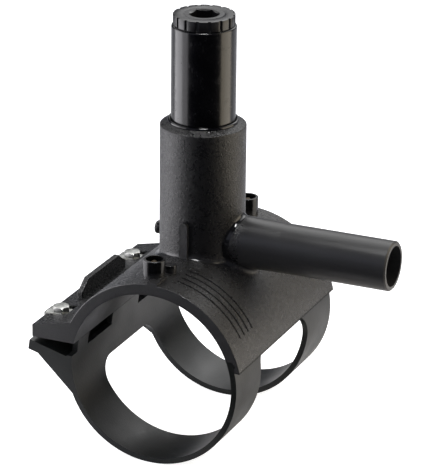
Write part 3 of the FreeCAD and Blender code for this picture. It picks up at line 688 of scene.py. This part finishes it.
@once
def bright_zinc():
    """Steel with bright zinc plating: silvery, with soft clouding from the passivation."""
    material, tree, shader, place = new_material("steel_zinc_plated", "zinc", METAL)
    cloud = add_node(tree, "TexNoise", {
        "Vector": place, "Scale": 1 / (2.2 * MM), "Detail": 3, "Roughness": 0.6})["Fac"]
    grit = add_node(tree, "TexNoise", {"Vector": place, "Scale": 1 / (0.3 * MM)})["Fac"]
    dress(tree, shader, gloss=(cloud, 0.26, 0.46), shade=(cloud, 0.86, 1.04),
          relief=(grit, 0.02 * MM, 0.6))
    return material


def turned_metal(name, base, least, most, groove):
    """A metal turned on a lathe: rings about the tower's axis, with grooves of a width in mm."""
    material, tree, shader, place = new_material(name, base, METAL)
    level_place = add_node(tree, "Mapping", {"Vector": place, "Scale": (0.04, 0.04, 1)})["Vector"]
    rings = add_node(tree, "TexNoise", {
        "Vector": level_place, "Scale": 1 / (groove * MM), "Roughness": 0.6})["Fac"]
    cloud = add_node(tree, "TexNoise", {"Vector": place, "Scale": 1 / (5 * MM)})["Fac"]
    dress(tree, shader, gloss=(cloud, least, most), shade=(cloud, 0.85, 1.05),
          relief=(rings, 0.02 * MM, 0.5))
    return material


@once
def turned_brass():
    """Turned brass: warm yellow with fine tool rings and slightly uneven tarnish."""
    return turned_metal("brass_turned", "brass", least=0.22, most=0.36, groove=0.25)


@once
def shade_darkened_brass():
    """The terminal pins' brass, darkened to a dark brown as painted shade for the inside of their
    shrouds.
    """
    return turned_metal("brass_tarnished", "pin_shade_brass", least=0.40, most=0.52, groove=0.25)


@once
def tool_steel():
    """Ground tool steel: cooler and darker than zinc, with close grinding rings."""
    return turned_metal("tool_steel_ground", "steel", least=0.26, most=0.40, groove=0.18)


@once
def resistance_alloy():
    """Bare copper-nickel wire: warm grey-pink, drawn smooth, dulled in places by heat."""
    return turned_metal("copper_nickel_wire", "wire", least=0.28, most=0.45, groove=1.5)


@once
def seal_rubber():
    """Moulded seal rubber: deep black, dull, with a faint bloom."""
    material, tree, shader, place = new_material("rubber_moulded", "rubber", RUBBER)
    bloom = add_node(tree, "TexNoise", {
        "Vector": place, "Scale": 1 / (3 * MM), "Roughness": 0.6})["Fac"]
    dress(tree, shader, gloss=(bloom, 0.50, 0.66), shade=(bloom, 0.8, 1.5))
    return material


# The finish of each of the record's material slots.
MATERIALS = {
    "pe_textured": eroded_polyethylene,
    "pe_gloss": polished_polyethylene,
    "pe_satin": satin_plastic,
    "zinc_steel": bright_zinc,
    "brass": turned_brass,
    "cutter_steel": tool_steel,
    "seal_rubber": seal_rubber,
    "resistance_wire": resistance_alloy,
}
# Nodes whose finish differs from that of their slot.
OWN_FINISH = {
    "lower_clamp": smooth_polyethylene,
    # The terminal pins' darker brass is painted shade inside their shrouds.
    "terminal_pin_front": shade_darkened_brass,
    "terminal_pin_rear": shade_darkened_brass,
}


def frame_mount(name):
    """One of the record's mounts, by name."""
    return next(m for m in frame["record"]["mounts"] if m["name"] == name)


class SADDLE_OT_finishes(bpy.types.Operator):
    """Give each solid of the model the finish of its material"""
    bl_idname = "saddle.finishes"
    bl_label = "Finish the mouldings"

    def execute(self, context):
        for name, node in frame["nodes"].items():
            node.data.materials.clear()
            maker = OWN_FINISH.get(name, MATERIALS[SLOT_OF[name]])
            node.data.materials.append(maker())
        return {"FINISHED"}


class SADDLE_OT_clamp_screws(bpy.types.Operator):
    """Model the clamp's hexagon screws with their threads"""
    bl_idname = "saddle.clamp_screws"
    bl_label = "Make the clamp screws"

    def execute(self, context):
        fittings = settings("fittings")
        x, y, tail, head_top = middle("clamp_screw_front")
        low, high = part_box("clamp_screw_front")
        head_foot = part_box("clamp_washer_front")[1].z
        screw = chamfered_hexagon("screw", high.y - low.y, head_foot, head_top, ("high",))
        soften_edges(screw, fittings.edge_round)
        radius = hole_radius() - fittings.hole_play
        shank = threaded_rod("shank", radius, tail, head_foot + MM / 2)
        combine(screw, shank, "UNION")
        shade(screw)
        move_into_place(screw, (x, y, 0))
        deliver_pair(screw, "clamp_screw", "threaded")
        return {"FINISHED"}


def hole_radius():
    """The radius of the screw's hole in its washer, read from the washer's mesh."""
    x, y = middle("clamp_nut_front")[:2]
    mesh = frame["nodes"]["clamp_washer_front"].data
    return min(math.hypot(v.co.x - x, v.co.y - y) for v in mesh.vertices)


class SADDLE_OT_clamp_nuts(bpy.types.Operator):
    """Model the captive nuts under the clamp's flange"""
    bl_idname = "saddle.clamp_nuts"
    bl_label = "Make the clamp nuts"

    def execute(self, context):
        fittings = settings("fittings")
        x, y, foot, top = middle("clamp_nut_front")
        low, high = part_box("clamp_nut_front")
        nut = chamfered_hexagon("nut", high.y - low.y, foot, top, ("low", "high"))
        bore = hole_radius() - fittings.hole_play + fittings.nut_play
        combine(nut, prism("nut_bore", ROUND_SIDES, bore, foot - MM, top + MM), "DIFFERENCE")
        soften_edges(nut, fittings.edge_round / 2)
        shade(nut)
        move_into_place(nut, (x, y, 0))
        deliver_pair(nut, "clamp_nut", "chamfered")
        return {"FINISHED"}


class SADDLE_OT_clamp_washers(bpy.types.Operator):
    """Model the square washers whose tabs are bent over the flange's edge"""
    bl_idname = "saddle.clamp_washers"
    bl_label = "Make the clamp washers"

    def execute(self, context):
        fittings = settings("fittings")
        low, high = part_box("clamp_washer_front")
        foot = high.z - fittings.washer_thickness
        tab_edge = low.x + fittings.washer_thickness
        plate = box("washer", (low.x, low.y, foot), high)
        bpy.ops.object.mode_set(mode="EDIT")
        bpy.ops.mesh.select_mode(type="FACE")
        bpy.ops.mesh.select_all(action="SELECT")
        bpy.ops.mesh.bisect(plane_co=(tab_edge, 0, 0), plane_no=(1, 0, 0))
        bpy.ops.object.mode_set(mode="OBJECT")
        # The underside of the strip beyond the flange's edge is drawn down into the tab.
        for face in plate.data.polygons:
            faces_down = face.normal.z < -0.9
            face.select = faces_down and face.center.x < tab_edge
        bpy.ops.object.mode_set(mode="EDIT")
        bpy.ops.mesh.extrude_region_move(
            TRANSFORM_OT_translate={"value": (0, 0, low.z - foot)})
        close_shell()
        outer = Vector((low.x, 0, high.z))
        for edge in plate.data.edges:
            ends = [plate.data.vertices[v].co for v in edge.vertices]
            edge.select = all((Vector((e.x, 0, e.z)) - outer).length < SAME_EDGE for e in ends)
        bpy.ops.object.mode_set(mode="EDIT")
        bpy.ops.mesh.select_mode(type="EDGE")
        bpy.ops.mesh.bevel(offset=fittings.washer_bend, segments=6)
        close_shell()
        hole = prism("washer_hole", ROUND_SIDES, hole_radius(), low.z, high.z + MM)
        move_into_place(hole, (middle("clamp_nut_front")[0], (low.y + high.y) / 2, 0))
        combine(plate, hole, "DIFFERENCE")
        soften_edges(plate, fittings.edge_round / 2, degrees=60)
        shade(plate)
        deliver_pair(plate, "clamp_washer", "bent")
        return {"FINISHED"}


class SADDLE_OT_tube_lip(bpy.types.Operator):
    """Model the fine lip that shines round the tube's foot"""
    bl_idname = "saddle.tube_lip"
    bl_label = "Make the tube's lip"

    def execute(self, context):
        half = settings("fittings").lip_section / 2
        tube_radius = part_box("valve_tube")[1].x
        shoulder_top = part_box("saddle_body")[1].z
        deselect_all()
        bpy.ops.mesh.primitive_torus_add(
            major_radius=tube_radius + half, minor_radius=half, major_segments=FINE_SIDES,
            minor_segments=12, location=(0, 0, shoulder_top))
        lip = settled("tube_foot_lip")
        shade(lip, degrees=60)
        lip.data.materials.append(welded_polyethylene())
        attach(lip, "saddle")
        return {"FINISHED"}


class SADDLE_OT_crown_ring(bpy.types.Operator):
    """Model the notched crown ring with its rounded edges"""
    bl_idname = "saddle.crown_ring"
    bl_label = "Make the crown ring"

    def execute(self, context):
        fittings = settings("fittings")
        points = [vertex.co for vertex in frame["nodes"]["crown_ring"].data.vertices]
        reaches = [math.hypot(point.x, point.y) for point in points]
        bore, outer = min(reaches), max(reaches)
        foot, top = min(point.z for point in points), max(point.z for point in points)
        plug = max(reach for reach, point in zip(reaches, points) if point.z < foot + SAME_EDGE)
        rim_foot = min(
            point.z for reach, point in zip(reaches, points) if reach > outer - SAME_EDGE)
        tube_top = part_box("valve_tube")[1].z
        seam = outer - fittings.crown_seam_depth
        crown = turned("crown_ring_notched", [
            (bore, foot), (plug, foot), (plug, tube_top), (seam, tube_top), (seam, rim_foot),
            (outer, rim_foot), (outer, top), (bore, top)], FINE_SIDES)
        half = fittings.crown_slot_width / 2
        inner = outer - fittings.crown_slot_depth
        for index in range(fittings.crown_slots):
            slot = box("slot", (inner, -half, rim_foot - SAME_EDGE), (outer + MM, half, top + MM))
            make_active(slot)
            turn = 2 * math.pi * (index + fittings.crown_slot_shift) / fittings.crown_slots
            bpy.ops.transform.rotate(value=turn, orient_axis="Z", center_override=(0, 0, 0))
            bpy.ops.object.transform_apply(location=True, rotation=True, scale=True)
            combine(crown, slot, "DIFFERENCE")
        soften_edges(crown, fittings.crown_edge, degrees=40)
        shade(crown)
        deliver(crown, "saddle", "crown_ring")
        return {"FINISHED"}


class SADDLE_OT_heating_coil(bpy.types.Operator):
    """Wind the heating coil of round wire in the fusion face"""
    bl_idname = "saddle.heating_coil"
    bl_label = "Wind the heating coil"

    def execute(self, context):
        fittings = settings("fittings")
        main_radius = frame_mount("main_pipe")["dims"]["r_mm"] * MM
        lay_radius = main_radius + fittings.coil_depth - fittings.coil_wire / 2
        steps = 64  # in one turn
        points = []
        for step in range(fittings.coil_turns * steps + 1):
            turn = 2 * math.pi * step / steps
            reach = fittings.coil_inner + fittings.coil_pitch * step / steps
            x, y = reach * math.cos(turn), reach * math.sin(turn)
            points.append((x, y, math.sqrt(lay_radius ** 2 - x ** 2)))
        curve = bpy.data.curves.new("heating_coil_wire", "CURVE")
        curve.dimensions = "3D"
        curve.bevel_depth = fittings.coil_wire / 2
        curve.bevel_resolution = 2
        curve.use_fill_caps = True
        line = curve.splines.new("POLY")
        line.points.add(len(points) - 1)
        for vertex, point in zip(line.points, points):
            vertex.co = (*point, 1)
        coil = bpy.data.objects.new("heating_coil_wire", curve)
        bpy.context.scene.collection.objects.link(coil)
        make_active(coil)
        bpy.ops.object.convert(target="MESH")
        coil = bpy.context.object
        shade(coil, degrees=60)
        deliver(coil, "saddle", "heating_coil")
        return {"FINISHED"}


def softbox(name, place, target, size, tone, radiance):
    """A rectangular lamp that points at a target, with power for the given face brightness."""
    lamp = bpy.data.lights.new(name, "AREA")
    lamp.shape = "RECTANGLE"
    lamp.size, lamp.size_y = size
    lamp.color = tone
    lamp.energy = radiance * math.pi * size[0] * size[1]
    piece = bpy.data.objects.new(name, lamp)
    piece.location = place
    aim = Vector(target) - Vector(place)
    piece.rotation_euler = aim.to_track_quat("-Z", "Y").to_euler()
    piece.visible_camera = False
    bpy.context.scene.collection.objects.link(piece)
    return piece


# Each lamp hangs so many metres right of the aim point, towards the camera and up, and has a
# width and a height. It faces level right (1) or left (-1), or else the aim point (0).
LAMPS = {
    "left_softbox": ((-0.36, 0.02, 0.10), (0.44, 0.50), 1, "left_light", "left_radiance"),
    "left_core": ((-0.35, -0.06, 0.10), (0.24, 0.46), 1, "left_light", "core_radiance"),
    "right_softbox": ((0.40, 0.04, 0.16), (0.34, 0.62), -1, "right_light", "right_radiance"),
    "top_softbox": ((0.00, -0.60, 0.85), (1.00, 0.80), 0, "plain_light", "top_radiance"),
    "back_softbox": ((0.65, -1.25, 0.92), (1.80, 1.30), 0, "plain_light", "back_radiance"),
    "back_core": ((0.54, -0.93, 0.65), (0.50, 0.30), 0, "plain_light", "back_core_radiance"),
    "front_softbox": ((-0.90, 0.90, 0.75), (1.30, 0.90), 0, "room_light", "front_radiance"),
    "glint_lamp": ((0.00, 0.20, 0.70), (0.18, 0.06), 0, "plain_light", "glint_radiance"),
}


def hang_lamps():
    """Hang the soft lamps, and a small one that only gleams on the glossy edges."""
    studio = settings("studio")
    towards, right = studio_directions()
    aim = Vector((0, 0, studio.lamp_aim))
    for name, (place, size, facing, tone, radiance) in LAMPS.items():
        sideways, forwards, upwards = place
        hook = aim + right * sideways + towards * forwards + Vector((0, 0, upwards))
        target = hook + right * facing if facing else aim
        lamp = softbox(name, hook, target, size, getattr(studio, tone), getattr(studio, radiance))
        lamp.visible_diffuse = name != "glint_lamp"


def studio_directions():
    """Level unit vectors towards the camera and to its right."""
    azimuth = settings("studio").azimuth
    towards = Vector((math.sin(azimuth), -math.cos(azimuth), 0))
    right = Vector((math.cos(azimuth), math.sin(azimuth), 0))
    return towards, right


def make_camera():
    """The camera at the photograph's viewing angle."""
    studio = settings("studio")
    turn = Matrix.Rotation(studio.azimuth, 4, "Z")
    tilt = Matrix.Rotation(math.pi / 2 - studio.elevation, 4, "X")
    roll = Matrix.Rotation(studio.roll, 4, "Z")
    shift = Matrix.Translation((studio.aim_right, studio.aim_up, studio.distance))
    data = bpy.data.cameras.new("camera")
    data.lens = studio.focal_length
    data.clip_end = 50
    camera = bpy.data.objects.new("camera", data)
    bpy.context.scene.collection.objects.link(camera)
    raised = Matrix.Translation((0, 0, studio.aim_height))
    camera.matrix_world = raised @ turn @ tilt @ roll @ shift
    bpy.context.scene.camera = camera


def make_floor(height):
    """A wide pale floor that keeps the shadow, is white to the camera and clear from below."""
    studio = settings("studio")
    deselect_all()
    bpy.ops.mesh.primitive_plane_add(size=studio.floor_size, location=(0, 0, height))
    floor = bpy.context.object
    floor.name = "studio_floor"
    material = bpy.data.materials.new("floor_paper")
    material.use_nodes = True
    tree = material.node_tree
    tree.nodes.clear()
    rays = add_node(tree, "LightPath", {})
    glowing = add_node(
        tree, "Math", {0: rays["Is Camera Ray"], 1: studio.floor_glow}, operation="MULTIPLY")[0]
    matt = add_node(tree, "BsdfDiffuse", {"Color": (*[studio.floor_white] * 3, 1)})[0]
    glow = add_node(tree, "Emission", {"Strength": glowing})[0]
    above = add_node(tree, "AddShader", {0: matt, 1: glow})[0]
    from_below = add_node(tree, "NewGeometry", {})["Backfacing"]
    clear = add_node(tree, "BsdfTransparent", {})[0]
    sided = add_node(tree, "MixShader", {0: from_below, 1: above, 2: clear})[0]
    add_node(tree, "OutputMaterial", {"Surface": sided})
    floor.data.materials.append(material)


def make_dark_card(height):
    """A black card on the floor in front, which only reflections show."""
    studio = settings("studio")
    deselect_all()
    bpy.ops.mesh.primitive_plane_add(size=1)
    card = bpy.context.object
    card.name = "studio_dark_card"
    centre = studio_directions()[0] * (studio.card_near + studio.card_far) / 2
    card.matrix_world = (
        Matrix.Translation((centre.x, centre.y, height + 2 * MM))
        @ Matrix.Rotation(studio.azimuth, 4, "Z")
        @ Matrix.Diagonal((studio.card_width, studio.card_far - studio.card_near, 1, 1)))
    card.visible_camera = False
    card.visible_diffuse = False
    card.visible_shadow = False
    material = bpy.data.materials.new("black_card")
    material.use_nodes = True
    shader = material.node_tree.nodes["Principled BSDF"]
    shader.inputs["Base Color"].default_value = (0, 0, 0, 1)
    shader.inputs["Specular IOR Level"].default_value = 0
    card.data.materials.append(material)


def make_world():
    """A room that is white to the camera, dark in reflections and dim on matt surfaces."""
    world = bpy.data.worlds.new("studio_room")
    world.use_nodes = True
    tree = world.node_tree
    tree.nodes.clear()
    studio = settings("studio")
    rays = add_node(tree, "LightPath", {})
    dimming = studio.reflection_level - studio.fill_level
    room = add_node(
        tree, "Math", {0: rays["Is Glossy Ray"], 1: dimming, 2: studio.fill_level},
        operation="MULTIPLY_ADD")[0]
    strength = joined(tree, room, rays["Is Camera Ray"])
    hue = add_node(tree, "Mix", {
        "Factor": rays["Is Camera Ray"], "A": (*studio.room_light, 1), "B": (1, 1, 1, 1)},
        data_type="RGBA")["Result"]
    sky = add_node(tree, "Background", {"Color": hue, "Strength": strength})[0]
    add_node(tree, "OutputWorld", {"Surface": sky})
    bpy.context.scene.world = world


class SADDLE_OT_studio(bpy.types.Operator):
    """Set up the floor, the lamps, the room and the camera"""
    bl_idname = "saddle.studio"
    bl_label = "Set up the studio"

    def execute(self, context):
        context.scene.view_settings.view_transform = "Standard"
        floor_height = cad_bounds[0][2]
        hang_lamps()
        make_floor(floor_height)
        make_dark_card(floor_height)
        make_world()
        make_camera()
        return {"FINISHED"}


class SADDLE_PT_panel(bpy.types.Panel):
    """The saddle's panel in the 3D view's sidebar"""
    bl_label = "Tapping saddle"
    bl_idname = "SADDLE_PT_panel"
    bl_space_type = "VIEW_3D"
    bl_region_type = "UI"
    bl_category = "Saddle"

    def draw(self, context):
        layout = self.layout
        for step in STEPS:
            layout.operator(step.bl_idname)
        for group in (settings("finishes"), settings("fittings"), settings("studio")):
            column = layout.column(align=True)
            for name in group.bl_rna.properties.keys():
                if name not in ("rna_type", "name"):
                    column.prop(group, name)


GROUPS = {
    "saddle_finishes": SaddleFinishes,
    "saddle_fittings": SaddleFittings,
    "saddle_studio": SaddleStudio,
}
STEPS = (
    SADDLE_OT_studio,
    SADDLE_OT_finishes,
    SADDLE_OT_clamp_screws,
    SADDLE_OT_clamp_nuts,
    SADDLE_OT_clamp_washers,
    SADDLE_OT_tube_lip,
    SADDLE_OT_crown_ring,
    SADDLE_OT_heating_coil,
)


def register():
    """Register the settings, the operators and the panel."""
    for group in GROUPS.values():
        bpy.utils.register_class(group)
    for name, group in GROUPS.items():
        setattr(bpy.types.Scene, name, bpy.props.PointerProperty(type=group))
    for step in STEPS:
        bpy.utils.register_class(step)
    bpy.utils.register_class(SADDLE_PT_panel)


def unregister():
    """Remove what register added."""
    bpy.utils.unregister_class(SADDLE_PT_panel)
    for step in reversed(STEPS):
        bpy.utils.unregister_class(step)
    for name, group in GROUPS.items():
        delattr(bpy.types.Scene, name)
        bpy.utils.unregister_class(group)


def main():
    """Build the dressed model."""
    register()
    bpy.ops.saddle.studio()
    bpy.ops.saddle.finishes()
    bpy.ops.saddle.clamp_screws()
    bpy.ops.saddle.clamp_nuts()
    bpy.ops.saddle.clamp_washers()
    bpy.ops.saddle.tube_lip()
    bpy.ops.saddle.crown_ring()
    bpy.ops.saddle.heating_coil()


if __name__ == "__main__":
    main()
